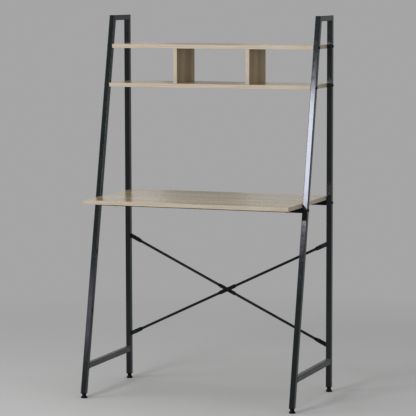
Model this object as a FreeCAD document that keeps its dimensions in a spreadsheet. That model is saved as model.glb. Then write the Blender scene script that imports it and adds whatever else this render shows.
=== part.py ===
import FreeCAD, Part
import math
import os
import re
import Sketcher
from FreeCAD import Placement, Rotation, Vector

# Ladder desk: two leaning tube side frames carry a desk top on two cross rails and, above it,
# two shelves with two dividers between them. A flat-ended tube cross stiffens the back.
# Millimetres. +X is the sitter's right, +Y runs to the back, +Z is up.
# The origin lies on the floor, midway between the frames and midway from front to back.

os.makedirs("parts", exist_ok=True)
doc = FreeCAD.newDocument("ladder_desk")

SIZES = {
    # side frames
    "overall_width": 840,
    "overall_depth": 460,
    "overall_height": 1420,
    "top_depth": 158,
    "tube_width": 20,
    "tube_wall": 1.5,
    "leg_end_height": 20,
    "stretcher_height": 117,
    # boards
    "board_thickness": 15,
    "edging_thickness": 1,
    "desk_height": 745,
    "desk_side_gap": 1,
    "lower_shelf_height": 1167,
    "upper_shelf_height": 1312,
    "divider_spread": 288,
    # cross brace
    "brace_upper_height": 563,
    "brace_lower_height": 178,
    "brace_diameter": 10,
    "brace_wall": 1,
    "brace_flat_width": 14.6,
    "brace_end_flat": 38,
    "brace_middle_flat": 60,
    "brace_crimp": 12,
    "brace_end_gap": 4.5,
    "tab_thickness": 3,
    "tab_width": 16,
    "tab_reach": 30,
    "tab_tip": 9,
    # straight rim and flat crown of every domed head, as parts of its height and width
    "head_rim_share": 0.33,
    "head_crown_share": 0.67,
    # M6 frame bolts with cross dowels in the shelves and nut plugs in the rails
    "bolt_diameter": 6,
    "bolt_hole_diameter": 6.6,
    "bolt_head_diameter": 10.5,
    "bolt_head_height": 3.3,
    "bolt_socket": 4,
    "shelf_bolt_length": 50,
    "shelf_bolt_bore": 32,
    "cross_dowel_diameter": 10,
    "cross_dowel_length": 11,
    "cross_dowel_inset": 20,
    "rail_bolt_length": 34,
    "rail_nut_length": 14,
    # M5 brace bolts
    "brace_bolt_diameter": 5,
    "brace_hole_diameter": 5.5,
    "brace_head_diameter": 9,
    "brace_head_height": 2.8,
    "brace_socket": 3,
    "brace_bolt_length": 12,
    "brace_nut_width": 8,
    "brace_nut_height": 4,
    # wood screws
    "desk_screw_diameter": 4,
    "desk_screw_head_diameter": 8,
    "desk_screw_head_height": 2.4,
    "desk_screw_socket": 2.5,
    "desk_screw_bite": 11,
    "desk_screw_spacing": 340,
    "divider_screw_diameter": 5,
    "divider_screw_head_diameter": 8,
    "divider_screw_head_height": 3,
    "divider_screw_socket": 3,
    "divider_screw_bite": 34,
    "divider_screw_inset": 40,
    # levelling feet and leg plugs
    "plug_flange": 2,
    "plug_depth": 16,
    "stem_diameter": 8,
    "stem_reach": 18,
    "stem_seat": 3,
    "pad_diameter": 24,
    "pad_rim": 2.5,
    "pad_cone": 9,
    "neck_diameter": 13,
    "foot_chamfer": 1,
    # clearances all round
    "fit_clearance": 0.05,
    "rail_screw_clearance": 0.1,
    "foot_stop_gap": 0.3,
}


def make_sheet():
    """Spreadsheet that holds every driving size under its own alias."""
    table = doc.addObject("Spreadsheet::Sheet", "sizes")
    for row, (alias, number) in enumerate(SIZES.items(), start=1):
        table.set(f"A{row}", alias)
        table.set(f"B{row}", str(number))
        table.setAlias(f"B{row}", alias)
    doc.recompute()
    return table


sheet = make_sheet()

# Places worked out from the sizes, as formulas
FRONT = "(-overall_depth / 2)"
BACK = "(overall_depth / 2 - (pad_diameter - tube_width) / 2)"
LEG_X = "(overall_width / 2 - tube_width / 2)"
INNER_X = "(overall_width / 2 - tube_width)"
SLOPE = f"(({BACK} - {FRONT} - top_depth) / overall_height)"
SLANTED_TUBE = f"(tube_width * sqrt(1 + {SLOPE} ^ 2))"
SLANTED_WALL = f"(tube_wall * sqrt(1 + {SLOPE} ^ 2))"
TUBE_BORE = "(tube_width - 2 * tube_wall)"
REAR_LEG_Y = f"({BACK} - tube_width / 2)"
UPPER_MID = "(upper_shelf_height - board_thickness / 2)"
LOWER_MID = "(lower_shelf_height - board_thickness / 2)"
DESK_MID = "(desk_height - board_thickness / 2)"
RAIL_MID = "(desk_height - board_thickness - tube_width / 2)"
DIVIDER_TOP = "(upper_shelf_height - board_thickness)"
BRACE_MID = "((brace_upper_height + brace_lower_height) / 2)"
BRACE_DROP = "(brace_upper_height - brace_lower_height)"
BRACE_SPAN = f"sqrt((2 * {INNER_X}) ^ 2 + {BRACE_DROP} ^ 2)"
BRACE_COS = f"(2 * {INNER_X} / {BRACE_SPAN})"
BRACE_SIN = f"({BRACE_DROP} / {BRACE_SPAN})"
BRACE_FLAT = "(2 * brace_wall)"
SIDES = {"left": "-1", "right": "1"}

# Length of every cut that goes right through its piece
THROUGH = "(2 * overall_width)"


def front_face(height):
    """Formula of the front legs' front face at a height."""
    return f"({FRONT} + {SLOPE} * ({height}))"


def front_leg_back(height):
    """Formula of the front legs' rear face at a height."""
    return f"({front_face(height)} + {SLANTED_TUBE})"


def front_leg_middle(height):
    """Formula of the front legs' middle at a height."""
    return f"({front_face(height)} + {SLANTED_TUBE} / 2)"


def formula(text):
    """The same formula with every size word pointing at its cell in the sheet."""
    return re.sub(r"[a-z_]+", lambda word: f"sizes.{word[0]}" if word[0] in SIZES else word[0], text)


def bind(thing, **formulas):
    """Bind properties of an object to formulas of the sheet; x, y and z mean its place."""
    for name, text in formulas.items():
        path = f"Placement.Base.{name}" if name in ("x", "y", "z") else name
        thing.setExpression(path, formula(text))


def value(alias):
    """One size as a plain number, for the shapes that are made by Part's own functions."""
    return float(getattr(sheet, alias))


def new_body(label, **place):
    """A body whose origin is moved to a place given by formulas."""
    body = doc.addObject("PartDesign::Body", label)
    bind(body, **place)
    return body


def new_sketch(body, plane, name, offset="0"):
    """An empty sketch on one of the body's origin planes, moved along the plane's normal."""
    sketch = body.newObject("Sketcher::SketchObject", f"{body.Name}_{name}_sketch")
    support = next(f for f in body.Origin.OriginFeatures if f.Role == plane)
    sketch.AttachmentSupport = [(support, "")]
    sketch.MapMode = "FlatFace"
    sketch.setExpression("AttachmentOffset.Base.z", formula(offset))
    return sketch


def fix_point(sketch, edge, point, place):
    """Fix one point of a sketch's edge at a place given by two formulas."""
    for kind, text in zip(("DistanceX", "DistanceY"), place):
        number = sketch.addConstraint(Sketcher.Constraint(kind, edge, point, 1.0))
        sketch.setExpression(f"Constraints[{number}]", formula(text))


def outline(body, plane, name, corners, offset="0"):
    """A closed sketch of straight edges between corners given by formulas."""
    sketch = new_sketch(body, plane, name, offset)
    count = len(corners)
    for i in range(count):
        sketch.addGeometry(Part.LineSegment(Vector(i, i * i, 0), Vector(i + 1, (i + 1) ** 2, 0)))
    for i in range(count):
        sketch.addConstraint(Sketcher.Constraint("Coincident", i, 2, (i + 1) % count, 1))
    for i, corner in enumerate(corners):
        fix_point(sketch, i, 1, corner)
    return sketch


def circles(body, plane, name, centres, diameter, offset="0"):
    """A sketch of equal circles."""
    sketch = new_sketch(body, plane, name, offset)
    for i, centre in enumerate(centres):
        sketch.addGeometry(Part.Circle(Vector(20 * i, 0, 0), Vector(0, 0, 1), 1))
        number = sketch.addConstraint(Sketcher.Constraint("Diameter", i, 2.0))
        sketch.setExpression(f"Constraints[{number}]", formula(diameter))
        fix_point(sketch, i, 3, centre)
    return sketch


def rectangle(low_x, low_y, high_x, high_y):
    """The four corners of a rectangle."""
    return [(low_x, low_y), (high_x, low_y), (high_x, high_y), (low_x, high_y)]


def square(side):
    """The four corners of a square about the origin."""
    return rectangle(f"-{side} / 2", f"-{side} / 2", f"{side} / 2", f"{side} / 2")


def hexagon(width):
    """The six corners of a hexagon about the origin, by its width across flats."""
    corner, half = f"{width} / sqrt(3)", f"{width} / 2"
    right = [(f"{corner} / 2", f"-{half}"), (corner, "0"), (f"{corner} / 2", half)]
    left = [(f"-{corner} / 2", half), (f"-{corner}", "0"), (f"-{corner} / 2", f"-{half}")]
    return right + left


def pad(body, sketch, length, side="Symmetric"):
    """Extrude a sketch."""
    feature = body.newObject("PartDesign::Pad", f"{sketch.Name}_pad")
    feature.Profile = sketch
    feature.SideType = side
    bind(feature, Length=length)
    return feature


def pocket(body, sketch, length, side="Symmetric", towards_normal=False):
    """Cut with a sketch: both ways, or one way against its normal unless told otherwise."""
    feature = body.newObject("PartDesign::Pocket", f"{sketch.Name}_pocket")
    feature.Profile = sketch
    feature.SideType = side
    feature.Reversed = towards_normal
    bind(feature, Length=length)
    return feature


def turned(body, profile):
    """Turn a profile of radius and height corners about the body's own Z axis."""
    sketch = outline(body, "XZ_Plane", "profile", profile)
    feature = body.newObject("PartDesign::Revolution", f"{sketch.Name}_turn")
    feature.Profile = sketch
    feature.ReferenceAxis = (sketch, ["V_Axis"])
    feature.Angle = 360
    return feature


def group(label, copies):
    """One sub-part made of copies of a master: each is (master, turn, place)."""
    links = []
    for number, (master, turn, place) in enumerate(copies):
        link = doc.addObject("App::Link", f"{label}_{number}")
        link.LinkedObject = master
        link.Placement = Placement(Vector(), turn)
        bind(link, x=place[0], y=place[1], z=place[2])
        links.append(link)
    compound = doc.addObject("Part::Compound", label)
    compound.Links = links
    return compound


# Turns of a fastener, whose head points along +Z in its master
HEAD_UP = Rotation()
HEAD_DOWN = Rotation(Vector(1, 0, 0), 180)
HEAD_RIGHT = Rotation(Vector(0, 1, 0), 90)
HEAD_LEFT = Rotation(Vector(0, 1, 0), -90)
HEAD_FRONT = Rotation(Vector(1, 0, 0), 90)
HEAD_BACK = Rotation(Vector(1, 0, 0), -90)

# Heights of the bolts through every leg
BOLT_HEIGHTS = {"rail": RAIL_MID, "lower_shelf": LOWER_MID, "upper_shelf": UPPER_MID}


# Side frames -------------------------------------------------------------------------------

def tube_piece(label, side, corners, bore_corners):
    """A square tube seen from the side as an outline, hollow along another outline."""
    body = new_body(label, x=f"{side} * {LEG_X}")
    pad(body, outline(body, "YZ_Plane", "side", corners), "tube_width")
    pocket(body, outline(body, "YZ_Plane", "bore", bore_corners), TUBE_BORE)
    return body


def bolt_holes(body, middles):
    """Holes across a leg, where the frame bolts go through both of its walls."""
    holes = circles(body, "YZ_Plane", "holes", middles, "bolt_hole_diameter")
    pocket(body, holes, THROUGH)
    return body


def front_leg(name, side):
    """Leaning leg: cut level above its foot and mitred to the top bar."""
    low, inner, top = "leg_end_height", "(overall_height - tube_width)", "overall_height"
    above = "(overall_height + tube_width)"
    corners = [
        (front_face(low), low),
        (front_leg_back(low), low),
        (front_leg_back(inner), inner),
        (front_face(top), top),
    ]
    bore = [
        (f"{front_face('0')} + {SLANTED_WALL}", "0"),
        (f"{front_leg_back('0')} - {SLANTED_WALL}", "0"),
        (f"{front_leg_back(above)} - {SLANTED_WALL}", above),
        (f"{front_face(above)} + {SLANTED_WALL}", above),
    ]
    leg = tube_piece(f"{name}_front_leg", side, corners, bore)
    return bolt_holes(leg, [(front_leg_middle(z), z) for z in BOLT_HEIGHTS.values()])


def rear_leg(name, side):
    """Upright leg: cut level above its foot and mitred to the top bar."""
    corners = [
        (f"{BACK} - tube_width", "leg_end_height"),
        (BACK, "leg_end_height"),
        (BACK, "overall_height"),
        (f"{BACK} - tube_width", "overall_height - tube_width"),
    ]
    bore = rectangle(
        f"{BACK} - tube_width + tube_wall", "0", f"{BACK} - tube_wall", "overall_height + tube_width"
    )
    leg = tube_piece(f"{name}_rear_leg", side, corners, bore)
    return bolt_holes(leg, [(REAR_LEG_Y, z) for z in BOLT_HEIGHTS.values()])


def top_bar(name, side):
    """Short level bar that joins the two legs of a side at the top."""
    inner, top = "(overall_height - tube_width)", "overall_height"
    corners = [
        (front_face(top), top),
        (front_leg_back(inner), inner),
        (f"{BACK} - tube_width", inner),
        (BACK, top),
    ]
    bore = rectangle(
        f"{front_face(top)} - tube_width",
        f"{inner} + tube_wall",
        f"{BACK} + tube_width",
        f"{top} - tube_wall",
    )
    return tube_piece(f"{name}_top_bar", side, corners, bore)


def stretcher(name, side):
    """Low level bar between the two legs of a side."""
    low, high = "(stretcher_height - tube_width / 2)", "(stretcher_height + tube_width / 2)"
    corners = [
        (front_leg_back(low), low),
        (f"{BACK} - tube_width", low),
        (f"{BACK} - tube_width", high),
        (front_leg_back(high), high),
    ]
    bore = rectangle(
        f"{front_face(low)} - tube_width", f"{low} + tube_wall", BACK, f"{high} - tube_wall"
    )
    return tube_piece(f"{name}_stretcher", side, corners, bore)


def side_frames():
    """The welded tubes of both sides."""
    makers = (front_leg, rear_leg, top_bar, stretcher)
    return [make(name, side) for name, side in SIDES.items() for make in makers]


# Feet --------------------------------------------------------------------------------------

def leg_plug(label, side, face, back, wall, axis):
    """Plastic plug in a leg's end: a block inside, a flange below, and a bore for the stem."""
    low, end, high = "(leg_end_height - plug_flange)", "leg_end_height", "(leg_end_height + plug_depth)"
    body = new_body(label, x=f"{side} * {LEG_X}")
    flange = [(face(low), low), (back(low), low), (back(end), end), (face(end), end)]
    pad(body, outline(body, "YZ_Plane", "flange", flange), "tube_width")
    block = [
        (f"{face(end)} + {wall}", end),
        (f"{back(end)} - {wall}", end),
        (f"{back(high)} - {wall}", high),
        (f"{face(high)} + {wall}", high),
    ]
    pad(body, outline(body, "YZ_Plane", "block", block), TUBE_BORE)
    bore = circles(body, "XY_Plane", "bore", [("0", axis)], "stem_diameter + 2 * fit_clearance")
    pocket(body, bore, THROUGH)
    return body


def foot_stem(label, side, axis):
    """Steel screw stem that stands in the pad and runs in the leg's plug."""
    body = new_body(label, x=f"{side} * {LEG_X}", y=axis)
    radius, tip = "stem_diameter / 2", "leg_end_height + stem_reach"
    turned(body, [
        ("0", "stem_seat"),
        (radius, "stem_seat"),
        (radius, f"{tip} - foot_chamfer"),
        (f"{radius} - foot_chamfer", tip),
        ("0", tip),
    ])
    return body


def foot_pad(label, side, axis):
    """Round foot: a cone up from the floor to a neck that stops below the leg's plug."""
    body = new_body(label, x=f"{side} * {LEG_X}", y=axis)
    socket = "stem_diameter / 2 + fit_clearance"
    neck_top = "leg_end_height - plug_flange - foot_stop_gap"
    turned(body, [
        ("0", "0"),
        ("pad_diameter / 2 - foot_chamfer", "0"),
        ("pad_diameter / 2", "foot_chamfer"),
        ("pad_diameter / 2", "pad_rim"),
        ("neck_diameter / 2", "pad_cone"),
        ("neck_diameter / 2", neck_top),
        (socket, neck_top),
        (socket, "stem_seat"),
        ("0", "stem_seat"),
    ])
    return body


def feet():
    """Plug, stem and pad at the end of every leg."""
    ends = {
        "front": (front_face, front_leg_back, SLANTED_WALL, front_leg_middle("leg_end_height")),
        "rear": (lambda z: f"({BACK} - tube_width)", lambda z: BACK, "tube_wall", REAR_LEG_Y),
    }
    made = []
    for name, side in SIDES.items():
        for end, (face, back, wall, axis) in ends.items():
            made.append(leg_plug(f"{name}_{end}_leg_plug", side, face, back, wall, axis))
            made.append(foot_stem(f"{name}_{end}_foot_stem", side, axis))
            made.append(foot_pad(f"{name}_{end}_foot_pad", side, axis))
    return made


# Boards ------------------------------------------------------------------------------------

def board(label, half_width, front, middle):
    """A level board without its edging, as a body whose origin lies at mid thickness."""
    body = new_body(label, z=middle)
    edge = "edging_thickness"
    corners = rectangle(
        f"-({half_width} - {edge})", f"{front} + {edge}", f"{half_width} - {edge}", f"{BACK} - {edge}"
    )
    pad(body, outline(body, "XY_Plane", "board", corners), "board_thickness")
    return body


def edging(label, half_width, front, middle):
    """The band glued round a level board."""
    body = new_body(label, z=middle)
    outer = rectangle(f"-{half_width}", front, half_width, BACK)
    pad(body, outline(body, "XY_Plane", "outer", outer), "board_thickness")
    edge = "edging_thickness"
    inner = rectangle(
        f"-({half_width} - {edge})", f"{front} + {edge}", f"{half_width} - {edge}", f"{BACK} - {edge}"
    )
    pocket(body, outline(body, "XY_Plane", "inner", inner), THROUGH)
    return body


DESK_HALF = f"({INNER_X} - desk_side_gap)"
SCREW_XS = ("-desk_screw_spacing", "0", "desk_screw_spacing")
RAIL_YS = {"front": front_leg_middle(RAIL_MID), "rear": REAR_LEG_Y}


def desk_top():
    """Desk top with pilot holes for the screws that come up through the rails."""
    body = board("desk_top", DESK_HALF, FRONT, DESK_MID)
    centres = [(x, y) for x in SCREW_XS for y in RAIL_YS.values()]
    pilot = circles(body, "XY_Plane", "pilots", centres,
                    "desk_screw_diameter + 2 * fit_clearance", "-board_thickness / 2")
    pocket(body, pilot, "desk_screw_bite + fit_clearance", "One side", towards_normal=True)
    return body


def desk_rail(name):
    """Level cross rail under the desk top, between two legs."""
    body = new_body(f"{name}_desk_rail", y=RAIL_YS[name], z=RAIL_MID)
    pad(body, outline(body, "YZ_Plane", "section", square("tube_width")), f"2 * {INNER_X}")
    pocket(body, outline(body, "YZ_Plane", "bore", square(TUBE_BORE)), THROUGH)
    holes = circles(body, "XY_Plane", "holes", [(x, "0") for x in SCREW_XS],
                    "desk_screw_diameter + 2 * rail_screw_clearance")
    pocket(body, holes, THROUGH)
    return body


SHELF_FRONTS = {"upper": front_face(UPPER_MID), "lower": front_face(LOWER_MID)}
SHELF_MIDDLES = {"upper": UPPER_MID, "lower": LOWER_MID}
DIVIDER_XS = ("-divider_spread / 2", "divider_spread / 2")
SCREW_YS = (f"{SHELF_FRONTS['upper']} + divider_screw_inset", f"{BACK} - divider_screw_inset")
DIVIDER_SCREWS = [(x, y) for x in DIVIDER_XS for y in SCREW_YS]


def shelf_bolt_ys(name):
    """Where the two bolts at each end of a shelf lie from front to back."""
    return (front_leg_middle(SHELF_MIDDLES[name]), REAR_LEG_Y)


def shelf(name):
    """Shelf bored for its end bolts, their cross dowels and the divider screws."""
    body = board(f"{name}_shelf", INNER_X, SHELF_FRONTS[name], SHELF_MIDDLES[name])
    bolt_ys = shelf_bolt_ys(name)
    for side, inward in (("right", False), ("left", True)):
        end = f"{SIDES[side]} * ({INNER_X} - edging_thickness)"
        bores = circles(body, "YZ_Plane", f"{side}_bolts", [(y, "0") for y in bolt_ys],
                        "bolt_hole_diameter", end)
        pocket(body, bores, "shelf_bolt_bore", "One side", towards_normal=inward)
    dowel_x = f"({INNER_X} - cross_dowel_inset)"
    dowels = circles(body, "XY_Plane", "dowels",
                     [(f"{side} * {dowel_x}", y) for side in SIDES.values() for y in bolt_ys],
                     "cross_dowel_diameter + 2 * fit_clearance", "-board_thickness / 2")
    pocket(body, dowels, "board_thickness / 2 + cross_dowel_length / 2", "One side", towards_normal=True)
    outer_face = {"upper": "board_thickness / 2", "lower": "-board_thickness / 2"}[name]
    shanks = circles(body, "XY_Plane", "shanks", DIVIDER_SCREWS,
                     "divider_screw_diameter + 2 * fit_clearance")
    pocket(body, shanks, THROUGH)
    heads = circles(body, "XY_Plane", "heads", DIVIDER_SCREWS,
                    "divider_screw_head_diameter + 2 * fit_clearance", outer_face)
    pocket(body, heads, "divider_screw_head_height", "One side", towards_normal=(name == "lower"))
    return body


def shelf_edging(name):
    """Edging of a shelf, holed where the end bolts go through it."""
    body = edging(f"{name}_shelf_edging", INNER_X, SHELF_FRONTS[name], SHELF_MIDDLES[name])
    holes = circles(body, "YZ_Plane", "holes", [(y, "0") for y in shelf_bolt_ys(name)],
                    "bolt_hole_diameter")
    pocket(body, holes, THROUGH)
    return body


def divider(name, side):
    """Upright board between the shelves, with a pilot hole for each of its screws."""
    body = new_body(f"{name}_divider", x=f"{side} * divider_spread / 2")
    front, low, high = SHELF_FRONTS["upper"], "lower_shelf_height", DIVIDER_TOP
    corners = rectangle(f"{front} + edging_thickness", low, f"{BACK} - edging_thickness", high)
    pad(body, outline(body, "YZ_Plane", "board", corners), "board_thickness")
    centres = [("0", y) for y in SCREW_YS]
    for end, height, upwards in (("top", high, False), ("bottom", low, True)):
        pilots = circles(body, "XY_Plane", f"{end}_pilots", centres,
                         "divider_screw_diameter + 2 * fit_clearance", height)
        pocket(body, pilots, "divider_screw_bite + fit_clearance", "One side", towards_normal=upwards)
    return body


def divider_edging(name, side):
    """The strips glued to a divider's front and back edges."""
    strips = []
    for end, start in (("front", SHELF_FRONTS["upper"]), ("back", f"{BACK} - edging_thickness")):
        strip = doc.addObject("Part::Box", f"{name}_divider_{end}_strip")
        bind(strip, Length="board_thickness", Width="edging_thickness",
             Height=f"{DIVIDER_TOP} - lower_shelf_height",
             x=f"{side} * divider_spread / 2 - board_thickness / 2", y=start, z="lower_shelf_height")
        strips.append(strip)
    compound = doc.addObject("Part::Compound", f"{name}_divider_edging")
    compound.Links = strips
    return compound


def boards():
    """Desk top, rails, shelves, dividers and all their edging."""
    made = [desk_top(), edging("desk_top_edging", DESK_HALF, FRONT, DESK_MID)]
    made += [desk_rail(name) for name in RAIL_YS]
    for name in SHELF_MIDDLES:
        made += [shelf(name), shelf_edging(name)]
    for name, side in SIDES.items():
        made += [divider(name, side), divider_edging(name, side)]
    return made


# Fasteners ---------------------------------------------------------------------------------

def button_bolt(label, shank, head, head_height, socket, length):
    """Bolt with a domed head and a hexagon socket; the head sits on the plane of its origin."""
    body = new_body(label)
    turned(body, [
        ("0", f"-({length})"),
        (f"{shank} / 2", f"-({length})"),
        (f"{shank} / 2", "0"),
        (f"{head} / 2", "0"),
        (f"{head} / 2", f"{head_height} * head_rim_share"),
        (f"{head} / 2 * head_crown_share", head_height),
        ("0", head_height),
    ])
    key = outline(body, "XY_Plane", "socket", hexagon(socket), head_height)
    pocket(body, key, f"{head_height} / 2", "One side")
    return body


def cross_dowel():
    """Round steel nut that lies across a shelf bolt."""
    body = new_body("cross_dowel")
    disc = circles(body, "XY_Plane", "disc", [("0", "0")], "cross_dowel_diameter")
    pad(body, disc, "cross_dowel_length")
    bore = circles(body, "YZ_Plane", "bore", [("0", "0")], "bolt_diameter + 2 * fit_clearance")
    pocket(body, bore, THROUGH)
    return body


def rail_nut():
    """Square nut plug that is welded into a rail's end."""
    body = new_body("rail_nut")
    pad(body, outline(body, "YZ_Plane", "section", square(TUBE_BORE)), "rail_nut_length")
    bore = circles(body, "YZ_Plane", "bore", [("0", "0")], "bolt_diameter + 2 * fit_clearance")
    pocket(body, bore, THROUGH)
    return body


def brace_nut():
    """Hexagon nut on a brace bolt; its bearing face lies on the plane of its origin."""
    body = new_body("brace_nut")
    hexagon_sketch = outline(body, "XY_Plane", "hexagon", hexagon("brace_nut_width"))
    pad(body, hexagon_sketch, "brace_nut_height", "One side")
    bore = circles(body, "XY_Plane", "bore", [("0", "0")], "brace_bolt_diameter + 2 * fit_clearance")
    pocket(body, bore, THROUGH)
    return body


def through_legs(label, bolt, front_y, height):
    """Four bolts at one height, from the outside of each leg inwards."""
    heads = {"left": HEAD_LEFT, "right": HEAD_RIGHT}
    return group(label, [
        (bolt, heads[name], (f"{side} * overall_width / 2", y, height))
        for name, side in SIDES.items() for y in (front_y, REAR_LEG_Y)
    ])


def frame_fasteners():
    """Bolts through the legs, the cross dowels in the shelves and the nut plugs in the rails."""
    head = ("bolt_diameter", "bolt_head_diameter", "bolt_head_height", "bolt_socket")
    shelf_bolt = button_bolt("shelf_bolt", *head, "shelf_bolt_length")
    rail_bolt = button_bolt("rail_bolt", *head, "rail_bolt_length")
    dowel, nut = cross_dowel(), rail_nut()
    made = [through_legs("desk_rail_bolts", rail_bolt, RAIL_YS["front"], RAIL_MID)]
    nut_x = f"({INNER_X} - rail_nut_length / 2)"
    made.append(group("desk_rail_nuts", [
        (nut, Rotation(), (f"{side} * {nut_x}", y, RAIL_MID))
        for side in SIDES.values() for y in RAIL_YS.values()
    ]))
    dowel_x = f"({INNER_X} - cross_dowel_inset)"
    for name, height in SHELF_MIDDLES.items():
        front_y, rear_y = shelf_bolt_ys(name)
        made.append(through_legs(f"{name}_shelf_bolts", shelf_bolt, front_y, height))
        made.append(group(f"{name}_shelf_dowels", [
            (dowel, Rotation(), (f"{side} * {dowel_x}", y, height))
            for side in SIDES.values() for y in (front_y, rear_y)
        ]))
    return made


def board_screws():
    """Screws up through the rails into the desk top, and through the shelves into the dividers."""
    desk_screw = button_bolt(
        "desk_screw", "desk_screw_diameter", "desk_screw_head_diameter", "desk_screw_head_height",
        "desk_screw_socket", "tube_width + desk_screw_bite",
    )
    divider_screw = button_bolt(
        "divider_screw", "divider_screw_diameter", "divider_screw_head_diameter",
        "divider_screw_head_height", "divider_screw_socket",
        "board_thickness - divider_screw_head_height + divider_screw_bite",
    )
    upper_seat = "upper_shelf_height - divider_screw_head_height"
    lower_seat = "lower_shelf_height - board_thickness + divider_screw_head_height"
    rail_seat = f"{RAIL_MID} - tube_width / 2"
    return [
        group("desk_top_screws", [
            (desk_screw, HEAD_DOWN, (x, y, rail_seat)) for x in SCREW_XS for y in RAIL_YS.values()
        ]),
        group("upper_divider_screws", [
            (divider_screw, HEAD_UP, (x, y, upper_seat)) for x, y in DIVIDER_SCREWS
        ]),
        group("lower_divider_screws", [
            (divider_screw, HEAD_DOWN, (x, y, lower_seat)) for x, y in DIVIDER_SCREWS
        ]),
    ]


# Cross brace -------------------------------------------------------------------------------

def tube_section(station, half_width, half_thickness, corner, flat):
    """Closed section across a brace: a flattened tube, or a round one, as four edges."""
    across, through = half_width - corner, half_thickness - corner
    y, z = (half_thickness, across) if flat else (through, across)

    def point(py, pz):
        return Vector(station, py, pz)

    if flat:
        faces = [Part.makeLine(point(y, z), point(y, -z)), Part.makeLine(point(-y, -z), point(-y, z))]
    else:
        faces = [
            Part.Arc(point(y, z), point(half_thickness, 0), point(y, -z)).toShape(),
            Part.Arc(point(-y, -z), point(-half_thickness, 0), point(-y, z)).toShape(),
        ]
    low = Part.Arc(point(y, -z), point(0, -half_width), point(-y, -z)).toShape()
    high = Part.Arc(point(-y, z), point(0, half_width), point(y, z)).toShape()
    return Part.Wire([faces[0], low, faces[1], high])


def flat_section(station):
    """Section where the tube is pressed flat to two walls."""
    half = value("brace_wall")
    return tube_section(station, value("brace_flat_width") / 2, half, half, flat=True)


def round_section(station):
    """Section where the tube is round: four arcs that meet at 45 degrees."""
    radius = value("brace_diameter") / 2
    return tube_section(station, radius, radius, radius * (1 - math.sqrt(0.5)), flat=False)


def brace_shape():
    """One brace along X about its middle: flat ends, round runs, flat middle, three holes."""
    inner_width = value("overall_width") - 2 * value("tube_width")
    drop = value("brace_upper_height") - value("brace_lower_height")
    half_span = math.hypot(inner_width, drop) / 2
    crimp, middle = value("brace_crimp"), value("brace_middle_flat") / 2
    tip = half_span - value("brace_end_gap")
    outer_round = tip - value("brace_end_flat") - crimp
    inner_round = middle + crimp
    right = [
        flat_section(middle), round_section(inner_round), round_section(outer_round),
        flat_section(outer_round + crimp), flat_section(tip),
    ]
    left = [
        flat_section(-tip), flat_section(-outer_round - crimp), round_section(-outer_round),
        round_section(-inner_round), flat_section(-middle),
    ]
    shape = Part.makeLoft(left + right, True, True)
    bore = value("brace_diameter") / 2 - value("brace_wall")
    run = outer_round - inner_round
    for start in (-outer_round, inner_round):
        shape = shape.cut(Part.makeCylinder(bore, run, Vector(start, 0, 0), Vector(1, 0, 0)))
    hole_station = half_span - value("tab_reach")
    radius, reach = value("brace_hole_diameter") / 2, value("brace_diameter")
    for station in (-hole_station, 0, hole_station):
        hole = Part.makeCylinder(radius, 2 * reach, Vector(station, -reach, 0), Vector(0, 1, 0))
        shape = shape.cut(hole)
    return shape


def brace(name, depth_side, lean_side):
    """A brace in its place: the falling one lies in front of the rising one."""
    feature = doc.addObject("Part::Feature", f"{name}_brace")
    feature.Shape = brace_shape()
    drop = value("brace_upper_height") - value("brace_lower_height")
    inner_width = value("overall_width") - 2 * value("tube_width")
    angle = math.degrees(math.atan2(drop, inner_width))
    feature.Placement = Placement(Vector(), Rotation(Vector(0, 1, 0), lean_side * angle))
    bind(feature, y=f"{REAR_LEG_Y} + {depth_side} * {BRACE_FLAT} / 2", z=BRACE_MID)
    return feature


def brace_tab():
    """Plate welded to a leg's inner face, in line with the falling brace's upper end."""
    body = new_body("brace_tab")
    half, length = "tab_width / 2", "(tab_reach + tab_tip)"
    tip = (f"{length} * {BRACE_COS}", f"-{length} * {BRACE_SIN}")
    side = (f"{half} * {BRACE_SIN}", f"{half} * {BRACE_COS}")
    corners = [
        ("0", f"{half} / {BRACE_COS}"),
        ("0", f"-{half} / {BRACE_COS}"),
        (f"{tip[0]} - {side[0]}", f"{tip[1]} - {side[1]}"),
        (f"{tip[0]} + {side[0]}", f"{tip[1]} + {side[1]}"),
    ]
    plate = pad(body, outline(body, "XZ_Plane", "plate", corners), "tab_thickness", "One side")
    plate.Reversed = True
    hole = (f"tab_reach * {BRACE_COS}", f"-tab_reach * {BRACE_SIN}")
    pocket(body, circles(body, "XZ_Plane", "hole", [hole], "brace_hole_diameter"), THROUGH)
    return body


def brace_tabs():
    """Two tabs on each rear leg: the falling brace's lie behind it, the rising brace's before it."""
    tab = brace_tab()
    half_turns = {axis: Rotation(axis_vector, 180) for axis, axis_vector in
                  (("x", Vector(1, 0, 0)), ("y", Vector(0, 1, 0)), ("z", Vector(0, 0, 1)))}
    places = {
        "left": ((Rotation(), "brace_upper_height"), (half_turns["x"], "brace_lower_height")),
        "right": ((half_turns["y"], "brace_lower_height"), (half_turns["z"], "brace_upper_height")),
    }
    return [
        group(f"{name}_brace_tabs", [
            (tab, turn, (f"{SIDES[name]} * {INNER_X}", REAR_LEG_Y, height)) for turn, height in ends
        ])
        for name, ends in places.items()
    ]


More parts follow.
